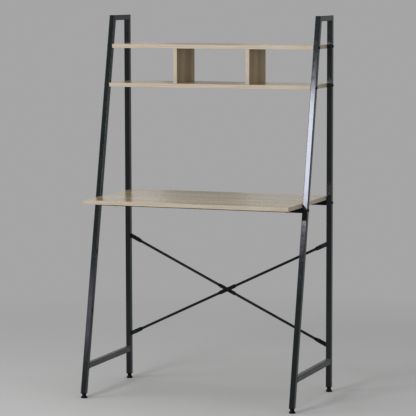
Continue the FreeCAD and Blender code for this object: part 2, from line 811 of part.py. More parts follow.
def brace_fasteners():
    """Bolt and nut at the crossing and at the four ends of the braces."""
    bolt = button_bolt("brace_bolt", "brace_bolt_diameter", "brace_head_diameter",
                       "brace_head_height", "brace_socket", "brace_bolt_length")
    nut = brace_nut()
    end_x = f"({INNER_X} - tab_reach * {BRACE_COS})"
    upper_z = f"brace_upper_height - tab_reach * {BRACE_SIN}"
    lower_z = f"brace_lower_height + tab_reach * {BRACE_SIN}"
    falling = [(f"-{end_x}", upper_z), (end_x, lower_z)]
    rising = [(f"-{end_x}", lower_z), (end_x, upper_z)]
    flat_front, flat_back = f"{REAR_LEG_Y} - {BRACE_FLAT}", f"{REAR_LEG_Y} + {BRACE_FLAT}"
    tab_front, tab_back = f"{REAR_LEG_Y} - tab_thickness", f"{REAR_LEG_Y} + tab_thickness"
    bolts = [(bolt, HEAD_FRONT, (x, flat_front, z)) for x, z in falling]
    bolts += [(bolt, HEAD_FRONT, (x, tab_front, z)) for x, z in rising]
    nuts = [(nut, HEAD_BACK, (x, tab_back, z)) for x, z in falling]
    nuts += [(nut, HEAD_BACK, (x, flat_back, z)) for x, z in rising]
    return [
        group("brace_end_bolts", bolts),
        group("brace_end_nuts", nuts),
        group("brace_centre_bolt", [(bolt, HEAD_FRONT, ("0", flat_front, BRACE_MID))]),
        group("brace_centre_nut", [(nut, HEAD_BACK, ("0", flat_back, BRACE_MID))]),
    ]


def cross_braces():
    """Both braces, their tabs and their fasteners."""
    falling, rising = brace("falling", -1, 1), brace("rising", 1, -1)
    return [falling, rising] + brace_tabs() + brace_fasteners()


# Checks and export -------------------------------------------------------------------------

def check(sub_parts):
    """Stop if any object failed or any sub-part's shape is empty or broken."""
    doc.recompute()
    failed = [o.Name for o in doc.Objects if {"Invalid", "Error"} & set(o.State)]
    if failed:
        raise RuntimeError(f"objects failed: {failed}")
    for sub_part in sub_parts:
        if sub_part.Shape.isNull() or not sub_part.Shape.isValid():
            raise RuntimeError(f"bad shape: {sub_part.Label}")


def export(sub_parts):
    """Write each sub-part to a file named by its label."""
    for sub_part in sub_parts:
        sub_part.Shape.exportStep(f"parts/{sub_part.Label}.step")


desk = side_frames() + feet() + boards() + frame_fasteners() + board_screws() + cross_braces()
check(desk)
export(desk)
print(len(desk), "sub-parts")
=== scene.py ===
import math
from collections import namedtuple

import bpy
import numpy as np
from bpy.props import FloatProperty, FloatVectorProperty, PointerProperty
from bpy.types import Operator, Panel, PropertyGroup
from mathutils import Matrix, Vector


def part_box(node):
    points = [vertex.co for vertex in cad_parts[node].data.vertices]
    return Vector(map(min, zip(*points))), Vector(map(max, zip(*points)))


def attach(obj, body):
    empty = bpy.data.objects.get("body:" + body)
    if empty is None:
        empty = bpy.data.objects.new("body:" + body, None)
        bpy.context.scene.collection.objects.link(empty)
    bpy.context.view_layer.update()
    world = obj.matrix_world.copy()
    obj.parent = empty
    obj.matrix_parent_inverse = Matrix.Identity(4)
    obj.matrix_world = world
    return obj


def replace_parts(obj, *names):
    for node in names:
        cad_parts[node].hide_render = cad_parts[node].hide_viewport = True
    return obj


bl_info = {
    "name": "Ladder desk",
    "version": (1, 0, 0),
    "blender": (4, 5, 0),
    "location": "3D View > Sidebar > Desk",
    "description": "Finishes a ladder desk: tube frames, melamine boards, cross brace and fittings",
    "category": "Object",
}

# Metres: +X is the sitter's right, +Y the back, +Z up.
MM = 0.001
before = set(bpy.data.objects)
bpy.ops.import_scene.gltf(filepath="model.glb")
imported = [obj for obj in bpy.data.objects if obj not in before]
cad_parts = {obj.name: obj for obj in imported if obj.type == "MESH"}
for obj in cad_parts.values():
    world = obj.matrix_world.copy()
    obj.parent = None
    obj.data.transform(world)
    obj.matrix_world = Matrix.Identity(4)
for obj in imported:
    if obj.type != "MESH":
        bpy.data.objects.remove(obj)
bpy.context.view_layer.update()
SIGN = {"left": -1, "right": 1}
ENDS = ("front", "rear")


def box(node):
    """Lowest and highest corner of a CAD node, as arrays."""
    low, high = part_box(node)
    return np.array(low), np.array(high)


def middle(node):
    """Middle of a CAD node's box."""
    low, high = box(node)
    return (low + high) / 2


# Places of the tubes: the front legs lean back by SLOPE for each metre of height
LEG_LOW = box("right_front_leg")[0]
REAR_LOW = box("right_rear_leg")[0]
BAR_LOW, BAR_HIGH = box("right_top_bar")
STRETCHER_LOW, STRETCHER_HIGH = box("right_stretcher")
TUBE = STRETCHER_HIGH[2] - STRETCHER_LOW[2]
TOP = BAR_HIGH[2]
LEG_END = LEG_LOW[2]
SLOPE = (BAR_LOW[1] - LEG_LOW[1]) / (TOP - LEG_END)
LEAN = math.atan(SLOPE)
SLANTED_TUBE = TUBE / math.cos(LEAN)
INNER_X, OUTER_X = STRETCHER_LOW[0], STRETCHER_HIGH[0]
LEG_X = (INNER_X + OUTER_X) / 2
REAR_Y = middle("right_rear_leg")[1]

# Cross brace: its middle's height, and the way from there to a bolt
BOLTS_HIGH = box("brace_end_bolts")[1]
BRACE_CROSSING = middle("brace_centre_bolt")[2]
BRACE_HEAD = BRACE_CROSSING - box("brace_centre_bolt")[0][2]
BRACE_REACH = np.array([BOLTS_HIGH[0] - BRACE_HEAD, 0, BOLTS_HIGH[2] - BRACE_HEAD - BRACE_CROSSING])
BRACE_BOLT_AT = np.linalg.norm(BRACE_REACH)

# Bolts and screws: widths of shank and head, the head's height and its socket's width
FRAME_BOLT = (6 * MM, 10.5 * MM, 3.3 * MM, 4 * MM)
BRACE_BOLT = (5 * MM, 9 * MM, 2.8 * MM, 3 * MM)
RAIL_SCREW = (4 * MM, 8 * MM, 2.4 * MM, 2.5 * MM)
DIVIDER_SCREW = (5 * MM, 8 * MM, 3 * MM, 3 * MM)

# Points round a turned surface
SPOKES = 48


def front_face(height):
    """Y of the front legs' front face at a height."""
    return LEG_LOW[1] + SLOPE * (height - LEG_END)


def leg_y(end, height):
    """Y of a leg's middle at a height."""
    return front_face(height) + SLANTED_TUBE / 2 if end == "front" else REAR_Y


# Shapes

# Flat closed line, anticlockwise: points, outward normals, and how near a corner each lies
Outline = namedtuple("Outline", "points normals edge")

# Surface: points, faces as lists of point numbers, how near a rim each point lies, and each face
# corner's run, which is its distance along the surface's rings and round them
Shape = namedtuple("Shape", "points faces edge run")


def rounded_outline(corners, radius, steps=5):
    """Convex outline with round corners.

    The arc at corner k turns from the normal of the side before it to that of the side after it,
    about c = corner - bisector * radius / cos(turn / 2), so a point is c + radius * normal.
    """
    corners = np.array(corners, float)
    sides = np.roll(corners, -1, 0) - corners
    after = np.stack([sides[:, 1], -sides[:, 0]], 1) / np.linalg.norm(sides, axis=1)[:, None]
    before = np.roll(after, 1, 0)
    start = np.arctan2(before[:, 1], before[:, 0])
    turn = (np.arctan2(after[:, 1], after[:, 0]) - start) % (2 * math.pi)
    bisector = (before + after) / np.linalg.norm(before + after, axis=1)[:, None]
    centre = corners - bisector * (radius / np.cos(turn / 2))[:, None]
    share = np.linspace(0, 1, steps + 1)
    angle = start[:, None] + turn[:, None] * share
    normal = np.stack([np.cos(angle), np.sin(angle)], 2)
    edge = np.tile(np.sin(math.pi * share), len(corners))
    return Outline((centre[:, None] + radius * normal).reshape(-1, 2), normal.reshape(-1, 2), edge)


def rectangle(width, height, radius, steps=5):
    """Rounded outline of a rectangle about the origin."""
    w, h = width / 2, height / 2
    return rounded_outline([(-w, -h), (w, -h), (w, h), (-w, h)], radius, steps)


def spokes(count=SPOKES):
    """Outline of no size whose normals point all round, so that a negative inset is a radius."""
    angle = np.arange(count) * 2 * math.pi / count
    normal = np.stack([np.cos(angle), np.sin(angle)], 1)
    return Outline(np.zeros_like(normal), normal, np.zeros(count))


def hexagon(width):
    """Distance from a hexagon's middle to its side at each angle: width / 2 / cos(angle off side)."""
    angle = np.arange(SPOKES) * 2 * math.pi / SPOKES
    off_side = (angle + math.pi / 6) % (math.pi / 3) - math.pi / 6
    return width / 2 / np.cos(off_side)


def rim(low, high, radius, steps=4):
    """Levels (height, inset, edge) of a wall whose two rims are quarter rounds."""
    angle = np.linspace(0, math.pi / 2, steps + 1)
    inset, rise = radius * (1 - np.sin(angle)), radius * (1 - np.cos(angle))
    edge = np.sin(2 * angle)
    bottom = np.stack([low + rise, inset, edge], 1)
    top = np.stack([high - rise, inset, edge], 1)[::-1]
    return [tuple(level) for level in np.concatenate([bottom, top])]


def skin(points, edge=None, loop=False):
    """Surface over rings: points[i, j] is point j of ring i, anticlockwise round the way the rings go.

    A loop joins the last ring to the first; otherwise a flat cap closes each end. The run at a corner
    is the mean distance between rings up to it and the distance round the longest ring up to it.
    """
    rings, count = points.shape[:2]
    number = np.arange(rings * count).reshape(rings, count)
    here, ahead = (number, np.roll(number, -1, 0)) if loop else (number[:-1], number[1:])
    quads = np.stack([here, np.roll(here, -1, 1), np.roll(ahead, -1, 1), ahead], 2).reshape(-1, 4)
    steps = np.linalg.norm(np.roll(points, -1, 0) - points, axis=2).mean(1)
    around = np.linalg.norm(np.roll(points, -1, 1) - points, axis=2)
    longest = around[around.sum(1).argmax()]
    u = np.concatenate([[0], np.cumsum(steps)])
    v = np.concatenate([[0], np.cumsum(longest)])
    row, column = np.meshgrid(np.arange(len(here)), np.arange(count), indexing="ij")
    corner_u = np.stack([u[row], u[row], u[row + 1], u[row + 1]], 2)
    corner_v = np.stack([v[column], v[column + 1], v[column + 1], v[column]], 2)
    run = np.stack([corner_u, corner_v], 3).reshape(-1, 2)
    faces = quads.tolist()
    if not loop:
        faces += [number[0, ::-1].tolist(), number[-1].tolist()]
        run = np.concatenate([run, np.zeros((2 * count, 2))])
    edge = np.zeros(rings * count) if edge is None else np.broadcast_to(edge, (rings, count)).ravel()
    return Shape(points.reshape(-1, 3), faces, edge, run)


def prism(outline, levels):
    """Wall through an outline at levels of (height, inset, edge): (P - inset * N, height).

    An inset may be an array with a value for each of the outline's points.
    """
    count = len(outline.points)
    height, inset, edge = (
        np.array([np.broadcast_to(level[i], count) for level in levels], float) for i in range(3)
    )
    flat = outline.points[None] - inset[:, :, None] * outline.normals[None]
    points = np.concatenate([flat, height[:, :, None]], 2)
    return skin(points, np.maximum(edge, outline.edge))


def turned(levels, count=SPOKES):
    """Surface of revolution about Z through levels of (height, radius, edge)."""
    return prism(spokes(count), [(height, -np.asarray(r), edge) for height, r, edge in levels])


def placed(shape, origin, x_axis=(1, 0, 0), z_axis=(0, 0, 1)):
    """A surface whose own X and Z are turned to two axes: p = origin + a X + b Y + c Z."""
    x_axis, z_axis = np.array(x_axis, float), np.array(z_axis, float)
    turn = np.stack([x_axis, np.cross(z_axis, x_axis), z_axis])
    return Shape(shape.points @ turn + np.array(origin, float), shape.faces, shape.edge, shape.run)


def joined(shapes):
    """Several surfaces as one."""
    starts = np.cumsum([0] + [len(shape.points) for shape in shapes]).tolist()
    faces = [[start + i for i in face] for start, shape in zip(starts, shapes) for face in shape.faces]
    points, edge, run = (
        np.concatenate([getattr(shape, part) for shape in shapes]) for part in ("points", "edge", "run")
    )
    return Shape(points, faces, edge, run)


def member(start, end, across, cuts, corner):
    """Square tube from start to end, cut off by a plane at each end, with a fine chamfer at each cut.

    Outline point (a, b) lies at start + a A + b B + s D, where s solves (point - end point) . cut = 0.
    """
    start, end, a_axis = (np.array(v, float) for v in (start, end, across))
    length = np.linalg.norm(end - start)
    axis = (end - start) / length
    b_axis = np.cross(axis, a_axis)
    outline = rectangle(TUBE, TUBE, corner)
    seam = 0.35 * MM
    rings = []
    for which, shift, inset in ((0, 0, seam), (0, seam, 0), (1, -seam, 0), (1, 0, seam)):
        flat = outline.points - inset * outline.normals
        offset = flat[:, :1] * a_axis + flat[:, 1:] * b_axis
        cut = np.array(cuts[which], float)
        along = which * length + shift - offset @ cut / (axis @ cut)
        rings.append(start + offset + along[:, None] * axis)
    return skin(np.array(rings), outline.edge)


def weld(outline, centre, axis, across, cut, bead):
    """Bead round a piece where it meets a plane: circles about the seam whose radius ripples along it.

    The seam is the piece's outline dropped along its axis on the plane, and the radius at distance s
    is bead * (1 + depth * sin(2 pi s / pitch)), with a whole number of ripples.
    """
    pitch, depth, per_ripple, sides = 2.4 * MM, 0.13, 6, 10
    axis, a_axis, cut = (np.array(v, float) for v in (axis, across, cut))
    b_axis = np.cross(axis, a_axis)
    line = np.vstack([outline.points, outline.points[:1]])
    normals = np.vstack([outline.normals, outline.normals[:1]])
    run = np.concatenate([[0], np.cumsum(np.linalg.norm(np.diff(line, axis=0), axis=1))])
    ripples = round(run[-1] / pitch)
    at = np.linspace(0, run[-1], per_ripple * ripples, endpoint=False)
    a, b, na, nb = (np.interp(at, run, values)[:, None] for values in (*line.T, *normals.T))
    offset = a * a_axis + b * b_axis
    outward = na * a_axis + nb * b_axis
    path = np.array(centre, float) + offset - (offset @ cut / (axis @ cut))[:, None] * axis
    radius = bead * (1 + depth * np.sin(2 * math.pi * ripples * at / run[-1]))
    angle = -np.arange(sides) * 2 * math.pi / sides
    spoke = np.cos(angle)[None, :, None] * outward[:, None] + np.sin(angle)[None, :, None] * axis
    return skin(path[:, None] + radius[:, None, None] * spoke, loop=True)


def edge_band(outline, height, thickness, radius):
    """Band round a board: a flat section with rounded outer rims, carried round the board's outline."""
    half = height / 2
    section = [(half, thickness, 0), (-half, thickness, 0), *rim(-half, half, radius)]
    rise, inset, edge = np.array(section)[::-1].T
    flat = outline.points[:, None] + (thickness - inset)[None, :, None] * outline.normals[:, None]
    rise = np.broadcast_to(rise[None, :, None], flat.shape[:2] + (1,))
    return skin(np.concatenate([flat, rise], 2), edge, loop=True)


def socket_levels(top, depth, width):
    """Levels that go down from a head's top into a hexagon socket."""
    corner, sides, bevel = width / math.sqrt(3), hexagon(width), 0.25 * MM
    return [
        (top, corner + bevel, 0.6), (top - bevel, sides, 0.6), (top - depth, sides, 0),
        (top - depth - bevel, 0.6 * sides, 0),
    ]


def button_bolt(shank, head, height, socket, length):
    """Bolt with its bearing face on the origin: shank, straight rim, dome and hexagon socket.

    The dome is radius = head / 2 * cos(t), height = rim + (top - rim) * sin(t) / sin(last t).
    """
    rim_height, crown, tip, blunt = 0.3 * height, math.acos(0.64), 0.6 * MM, 0.2 * MM
    t = np.linspace(0, crown, 7)
    rise = (height - rim_height) * np.sin(t) / math.sin(crown)
    dome = zip(rim_height + rise, head / 2 * np.cos(t), 1 - t)
    levels = [
        (-length, shank / 2 - tip, 0), (tip - length, shank / 2, 0), (0, shank / 2, 0),
        (0, head / 2 - blunt, 0), (blunt, head / 2, 1),
    ]
    return turned(levels + list(dome) + socket_levels(height, 0.62 * height, socket))


def countersunk_screw(shank, head, height, socket, length):
    """Screw with a flat head, whose top lies at the height, over a cone, and a hexagon socket."""
    blunt, rim_depth = 0.2 * MM, 0.6 * MM
    levels = [
        (-length, 0.2 * shank, 0), (-0.8 * length, shank / 2, 0), (0, shank / 2, 0),
        (height - rim_depth, head / 2, 0), (height - blunt, head / 2, 1), (height, head / 2 - blunt, 1),
    ]
    return turned(levels + socket_levels(height, 0.7 * height, socket))


def hexagon_nut(width, height, bolt):
    """Nut with its bearing face on the origin, corners cut to a circle, and the bolt's end in it."""
    sides, inside = hexagon(width), width / 2
    return turned([
        (0, 0.96 * sides, 0), (0.3 * MM, sides, 0.5), (height - 0.5 * MM, sides, 0.5),
        (height, np.minimum(sides, 1.02 * inside), 1), (height, 0.62 * bolt, 0),
        (height - 0.3 * MM, bolt / 2, 0), (height + 0.8 * MM, bolt / 2, 0),
        (height + 1.2 * MM, 0.4 * bolt, 0.5),
    ])


def thread(radius, depth, pitch, length):
    """Screw thread about Z: radius = r - depth * |2 frac(height / pitch - angle / 2 pi) - 1|."""
    per_turn, count = 6, 32
    height = np.linspace(0, length, round(length / pitch) * per_turn + 1)
    angle = np.arange(count) / count
    phase = (height[:, None] / pitch - angle[None]) % 1
    radii = radius - depth * np.abs(2 * phase - 1)
    return turned([(h, r, 0) for h, r in zip(height, radii)], count)


# Materials

# Where most of a noise's values lie
DRIFT = {"From Min": 0.3, "From Max": 0.7}


def linear(colour):
    """An sRGB hex colour as linear RGBA."""
    srgb = np.array([int(colour[i:i + 2], 16) / 255 for i in (1, 3, 5)])
    light = np.where(srgb <= 0.04045, srgb / 12.92, ((srgb + 0.055) / 1.055) ** 2.4)
    return (*light.tolist(), 1.0)


def add(tree, kind, inputs=None, output=0, **settings):
    """Add a shader node with its settings, give each input a value or a link, and return one output."""
    node = tree.nodes.new(f"ShaderNode{kind}")
    for name, setting in settings.items():
        setattr(node, name, setting)
    for name, source in (inputs or {}).items():
        if isinstance(source, bpy.types.NodeSocket):
            tree.links.new(source, node.inputs[name])
        else:
            node.inputs[name].default_value = source
    return node.outputs[output] if node.outputs else None


def blobs(tree, place, size, stretch=(1, 1, 1), detail=2.0):
    """Noise whose blobs have a real size in metres, longer along an axis by its stretch."""
    scale = tuple(1 / (size * s) for s in stretch)
    spot = add(tree, "Mapping", {"Vector": place, "Scale": scale})
    return add(tree, "TexNoise", {"Vector": spot, "Scale": 1.0, "Detail": detail})


def shade(tree, value, low, high, colour, other, most=1.0):
    """Blend a colour into another as a value climbs from low to high, up to a share."""
    share = add(tree, "MapRange", {"Value": value, "From Min": low, "From Max": high, "To Max": most})
    return add(tree, "Mix", {0: share, 6: colour, 7: other}, 2, data_type="RGBA")


def make_material(name, build):
    """Make a material once: build gives the shader's inputs, its relief and the relief's depth."""
    if name in bpy.data.materials:
        return bpy.data.materials[name]
    material = bpy.data.materials.new(name)
    material.use_nodes = True
    tree = material.node_tree
    tree.nodes.clear()
    inputs, relief, depth = build(tree, add(tree, "TexCoord", output="Object"))
    bump = add(tree, "Bump", {"Height": relief, "Distance": depth, "Strength": 1.0})
    shader = add(tree, "BsdfPrincipled", {**inputs, "Normal": bump})
    add(tree, "OutputMaterial", {"Surface": shader})
    return material


def powder_coat(settings, state=""):
    """Polyester powder coat, sprayed dry on steel tube and baked.

    It looks a semi-gloss black, cold where it shines, with a faint orange peel 3 mm across. On
    patches of the rims it is rougher and painted a lighter grey, a painted highlight. Desk rails
    and braces are matt, and their coat is painted darker as painted shade. The stretchers and their
    welds mirror little, and their coat is painted a lighter grey as a painted sheen.
    """
    # The desk rails' and braces' coat is painted darker as painted shade, and the stretchers' coat a
    # lighter grey as a painted sheen; the roughness of each is its own
    roughness, darkest, lightest, index = {
        "": (settings.roughness, settings.dark, settings.light, 1.46),
        "matt_": (settings.matt_roughness, settings.matt, settings.dark, 1.26),
        "painted_sheen_": (settings.stretcher_roughness, settings.painted_sheen, settings.painted_sheen_light, 1.46),
    }[state]

    def build(tree, place):
        drift = blobs(tree, place, 70 * MM, detail=3)
        base = shade(tree, drift, 0.3, 0.7, darkest, lightest)
        edge = add(tree, "Attribute", output="Fac", attribute_name="edge")
        # Painted highlight: the mask worn picks patches of the rounded rims, which are painted a
        # lighter grey
        highlight_patches = blobs(tree, place, 9 * MM, detail=4)
        worn = add(tree, "Math", {0: edge, 1: highlight_patches}, operation="MULTIPLY")
        flow = blobs(tree, place, 22 * MM, detail=3)
        gloss = {**DRIFT, "Value": flow, "To Min": roughness - 0.02, "To Max": roughness + 0.03}
        rough = {0: edge, 1: settings.rim_roughness, 2: add(tree, "MapRange", gloss)}
        inputs = {
            "Base Color": shade(tree, worn, 0.45, 0.75, base, settings.highlighted, 0.5),
            "Roughness": add(tree, "Math", rough, operation="MULTIPLY_ADD"),
            "IOR": index,
            "Specular Tint": linear("#ECEEFF"),
        }
        return inputs, blobs(tree, place, 3 * MM, detail=0), 0.0005 * MM
    return make_material(f"{state}black_powder_coat", build)


def oak_melamine(settings, part, roughness):
    """Chipboard faced with melamine paper, printed as limed oak and pressed with a fine pore texture.

    It looks a dull pale oak, with a soft sheen at low angles, most on the desk top. The grain runs
    along X, or up where the board stands. Growth bands are 48 mm wide, streaks 7 mm and fibres
    1.3 mm. Pores are 0.7 mm wide and 15 mm long, twice as wide as real ones, so that they show.
    """
    def build(tree, place):
        turn = (0, math.pi / 2, 0) if part == "_upright" else (0, 0, 0)
        along = add(tree, "Mapping", {"Vector": place, "Rotation": turn})
        sway = add(tree, "TexNoise", {"Vector": along, "Scale": 3.0, "Detail": 1.0}, "Color")
        centred = add(tree, "VectorMath", {0: sway, 1: (0.5, 0.5, 0.5)}, operation="SUBTRACT")
        aside = add(tree, "VectorMath", {0: centred, 1: (0, 0.05, 0.05)}, operation="MULTIPLY")
        bent = add(tree, "VectorMath", {0: along, 1: aside}, operation="ADD")
        bands = blobs(tree, bent, 48 * MM, (16, 1, 1), 4)
        streaks = blobs(tree, bent, 7 * MM, (60, 1, 1))
        fibres = blobs(tree, bent, 1.3 * MM, (90, 1, 1), 3)
        pores = blobs(tree, along, 0.7 * MM, (22, 1, 1), 1)
        ground = shade(tree, bands, 0.34, 0.5, settings.oak_dark, settings.oak_middle)
        banded = shade(tree, bands, 0.5, 0.66, ground, settings.oak_pale)
        streaked = shade(tree, streaks, 0.5, 0.7, banded, settings.oak_fibre, 0.35)
        grained = shade(tree, fibres, 0.35, 0.7, streaked, settings.oak_fibre, 0.3)
        gloss = {**DRIFT, "Value": fibres, "To Min": roughness - 0.03, "To Max": roughness + 0.05}
        inputs = {
            "Base Color": shade(tree, pores, 0.6, 0.72, grained, settings.oak_pore, 0.42),
            "Roughness": add(tree, "MapRange", gloss),
            "IOR": 1.55,
        }
        pit = {"Value": pores, "From Min": 0.6, "From Max": 0.72, "To Min": 1, "To Max": 0}
        return inputs, add(tree, "MapRange", pit), 0.04 * MM
    return make_material(f"oak_melamine{part}", build)


def abs_edging(settings):
    """ABS edge band, extruded and printed to go with the boards.

    It looks a little pinker than they do, with straight streaks along it, 5 mm wide, and fibres
    0.9 mm wide. It is painted lighter than the boards as painted light, for fronts that catch more
    light than the tops.
    """
    def build(tree, place):
        run = add(tree, "UVMap", uv_map="run")
        fibres = blobs(tree, run, 0.9 * MM, (60, 1, 1))
        streaks = blobs(tree, run, 5 * MM, (40, 1, 1))
        base = shade(tree, streaks, 0.3, 0.7, settings.band_dark, settings.band_pale)
        colour = shade(tree, fibres, 0.35, 0.7, base, settings.oak_fibre, 0.22)
        return {"Base Color": colour, "Roughness": 0.42, "IOR": 1.5}, fibres, 0.015 * MM
    return make_material("abs_edge_band", build)


def black_nylon(settings):
    """Nylon, injection moulded in black against a spark-eroded mould.

    It looks dull and quite black, because the pitted face traps light, and a little dusty.
    """
    def build(tree, place):
        dust = blobs(tree, place, 8 * MM, detail=3)
        colour = shade(tree, dust, 0.35, 0.7, settings.nylon, settings.nylon_dust)
        dull = add(tree, "MapRange", {**DRIFT, "Value": dust, "To Min": 0.58, "To Max": 0.7})
        inputs = {"Base Color": colour, "Roughness": dull, "IOR": 1.22}
        return inputs, blobs(tree, place, 0.5 * MM), 0.03 * MM
    return make_material("moulded_black_nylon", build)


def zinc_plate(settings):
    """Bright zinc plate on cold-drawn steel: cool silver, a little cloudy, with fine drawing marks."""
    def build(tree, place):
        cloud = blobs(tree, place, 4 * MM, detail=3)
        colour = shade(tree, cloud, 0.3, 0.7, settings.zinc_dull, settings.zinc_bright)
        satin = add(tree, "MapRange", {**DRIFT, "Value": cloud, "To Min": 0.24, "To Max": 0.38})
        inputs = {"Base Color": colour, "Metallic": 1.0, "Roughness": satin}
        return inputs, blobs(tree, place, 0.35 * MM, (1, 1, 8)), 0.01 * MM
    return make_material("zinc_plated_steel", build)


def black_oxide(settings):
    """Alloy steel, forged, blackened hot and oiled: satin grey-black, worn bright on its rims."""
    def build(tree, place):
        cloud = blobs(tree, place, 3 * MM, detail=3)
        base = shade(tree, cloud, 0.3, 0.7, settings.oxide_dark, settings.oxide_light)
        edge = add(tree, "Attribute", output="Fac", attribute_name="edge")
        worn = add(tree, "Math", {0: edge, 1: cloud}, operation="MULTIPLY")
        colour = shade(tree, worn, 0.35, 0.7, base, settings.oxide_worn, 0.4)
        satin = add(tree, "MapRange", {**DRIFT, "Value": cloud, "To Min": 0.32, "To Max": 0.45})
        return {"Base Color": colour, "Metallic": 1.0, "Roughness": satin}, cloud, 0.01 * MM
    return make_material("black_oxide_steel", build)


# Pieces

# Faces that meet at a greater angle than this keep a sharp edge
SHARP = math.radians(38)


def put(name, shape, material, nodes=(), body="frame"):
    """Make a surface a piece: its mesh, material, slot and body, and the CAD nodes it stands for."""
    mesh = bpy.data.meshes.new(name)
    mesh.from_pydata(shape.points.tolist(), [], shape.faces)
    mesh.polygons.foreach_set("use_smooth", np.ones(len(shape.faces), bool))
    mesh.set_sharp_from_angle(angle=SHARP)
    edge = mesh.attributes.new("edge", "FLOAT", "POINT")
    edge.data.foreach_set("value", shape.edge.astype(np.float32))
    run = mesh.uv_layers.new(name="run")
    run.data.foreach_set("uv", shape.run.astype(np.float32).ravel())
    mesh.materials.append(material)
    piece = bpy.data.objects.new(name, mesh)
    bpy.context.scene.collection.objects.link(piece)
    shading = piece.modifiers.new("flat faces stay flat", "WEIGHTED_NORMAL")
    shading.keep_sharp = True
    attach(piece, body)
    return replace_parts(piece, *nodes) if nodes else piece


def coat(material, *nodes):
    """Give CAD nodes a finish in place of their plain one."""
    for node in nodes:
        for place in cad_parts[node].material_slots:
            place.material = material


def metres(name, about, default, low, high):
    """A length in metres, shown in the scene's unit."""
    return FloatProperty(name=name, description=about, default=default, min=low, max=high,
                         unit="LENGTH", precision=4)


def tint(name, about, default):
    """A colour with an sRGB hex default."""
    return FloatVectorProperty(name=name, description=about, default=linear(default),
                               size=4, min=0, max=1, subtype="COLOR")


def fraction(name, about, default):
    """A plain number from 0 to 1."""
    return FloatProperty(name=name, description=about, default=default, min=0, max=1, subtype="FACTOR")


def watts(name, about, default):
    """A lamp's power in watts."""
    return FloatProperty(name=name, description=about, default=default, min=0, unit="POWER")


class LadderDeskPaint(PropertyGroup):
    """Painted tubes."""

    corner: metres("Tube corner", "Outer radius of the tubes' corners", 2 * MM, 0.5 * MM, 6 * MM)
    bead: metres("Weld bead", "Radius of the weld beads", 1.7 * MM, 0.5 * MM, 4 * MM)
    roughness: fraction("Roughness", "Roughness of the coat", 0.11)
    matt_roughness: fraction("Matt roughness", "Roughness of the desk rails and braces", 0.4)
    rim_roughness: fraction("Rim roughness", "How much rougher rounded rims are", 0.5)
    stretcher_roughness: fraction("Scuffed roughness", "Roughness of the stretchers", 0.4)
    # Painted shade: the rails' and braces' coat is painted darker than the rest
    matt: tint("Matt", "Matt coat where it is darkest", "#030504")
    dark: tint("Dark", "Coat where it is darkest", "#090F0C")
    light: tint("Light", "Coat where it is lightest", "#101814")
    # Painted sheen: the stretchers' coat is painted a lighter grey
    painted_sheen: tint("Sheen", "Scuffed coat where it is darkest", "#3A3D3D")
    painted_sheen_light: tint("Scuffed light", "Scuffed coat where it is lightest", "#4C4E4D")
    # Painted highlight: the lighter grey painted on patches of the tubes' rims
    highlighted: tint("Highlighted", "Coat on rubbed rims", "#3A3D40")


class LadderDeskBoards(PropertyGroup):
    """Melamine boards and their edging."""

    band_round: metres("Band rounding", "Outer rounding of the bands", 0.6 * MM, 0.1 * MM, 0.9 * MM)
    roughness: fraction("Roughness", "Roughness of the desk top", 0.21)
    shelf_roughness: fraction("Shelf roughness", "Roughness of the shelves", 0.25)
    upright_roughness: fraction("Divider roughness", "Roughness of the dividers", 0.5)
    # Oak tones, set somewhat darker than the bands as painted shade for the less lit tops
    oak_dark: tint("Oak dark", "Dark growth bands", "#958159")
    oak_middle: tint("Oak middle", "Ground between the bands", "#AF9A74")
    oak_pale: tint("Oak pale", "Pale growth bands", "#C3B18C")
    oak_fibre: tint("Oak fibre", "Fibres", "#86704C")
    oak_pore: tint("Oak pore", "Pores", "#624E34")
    # Band tones, lighter than the boards' as painted light for the better lit fronts
    band_dark: tint("Band dark", "Darker streaks of the bands", "#B9A893")
    band_pale: tint("Band pale", "Lighter streaks of the bands", "#CDC1B3")


class LadderDeskFittings(PropertyGroup):
    """Bolts, nuts, screws and feet."""

    thread_pitch: metres("Foot thread", "Pitch of the feet's stems", 1.25 * MM, 0.5 * MM, 3 * MM)
    nylon: tint("Nylon", "Moulded feet and plugs", "#0C0C0D")
    nylon_dust: tint("Nylon dust", "Dust on feet and plugs", "#161618")
    zinc_dull: tint("Zinc dull", "Clouded zinc plate", "#A9ADB3")
    zinc_bright: tint("Zinc bright", "Clear zinc plate", "#C6C9CC")
    oxide_dark: tint("Oxide dark", "Blackened steel", "#1A1B1D")
    oxide_light: tint("Oxide light", "Blackened steel where thin", "#28292B")
    oxide_worn: tint("Oxide worn", "Blackened steel where worn", "#6B6C6E")


class LadderDeskStudio(PropertyGroup):
    """Floor, lights and camera."""

    backdrop: tint("Backdrop", "Floor further out and background", "#A5A5A5")
    floor: tint("Floor", "Floor near the desk", "#CECECE")
    daylight: fraction("Daylight", "Even light from all round", 0.31)
    front_power: watts("Front soft box", "Light from in front, which the right leg mirrors", 50.0)
    left_power: watts("Left soft box", "Light from the left that shapes the tubes", 40.0)
    low_power: watts("Low card", "Faint light that the left leg mirrors", 2.3)
    top_power: watts("Top soft box", "Light from above", 20.0)
    back_power: watts("Back cards", "Light from behind that the desk top's ends mirror", 4.2)
    right_power: watts("Right card", "Light from the right that fills the shade", 15.0)


class LadderDeskSettings(PropertyGroup):
    """Everything that a user would change."""

    paint: PointerProperty(type=LadderDeskPaint)
    boards: PointerProperty(type=LadderDeskBoards)
    fittings: PointerProperty(type=LadderDeskFittings)
    studio: PointerProperty(type=LadderDeskStudio)


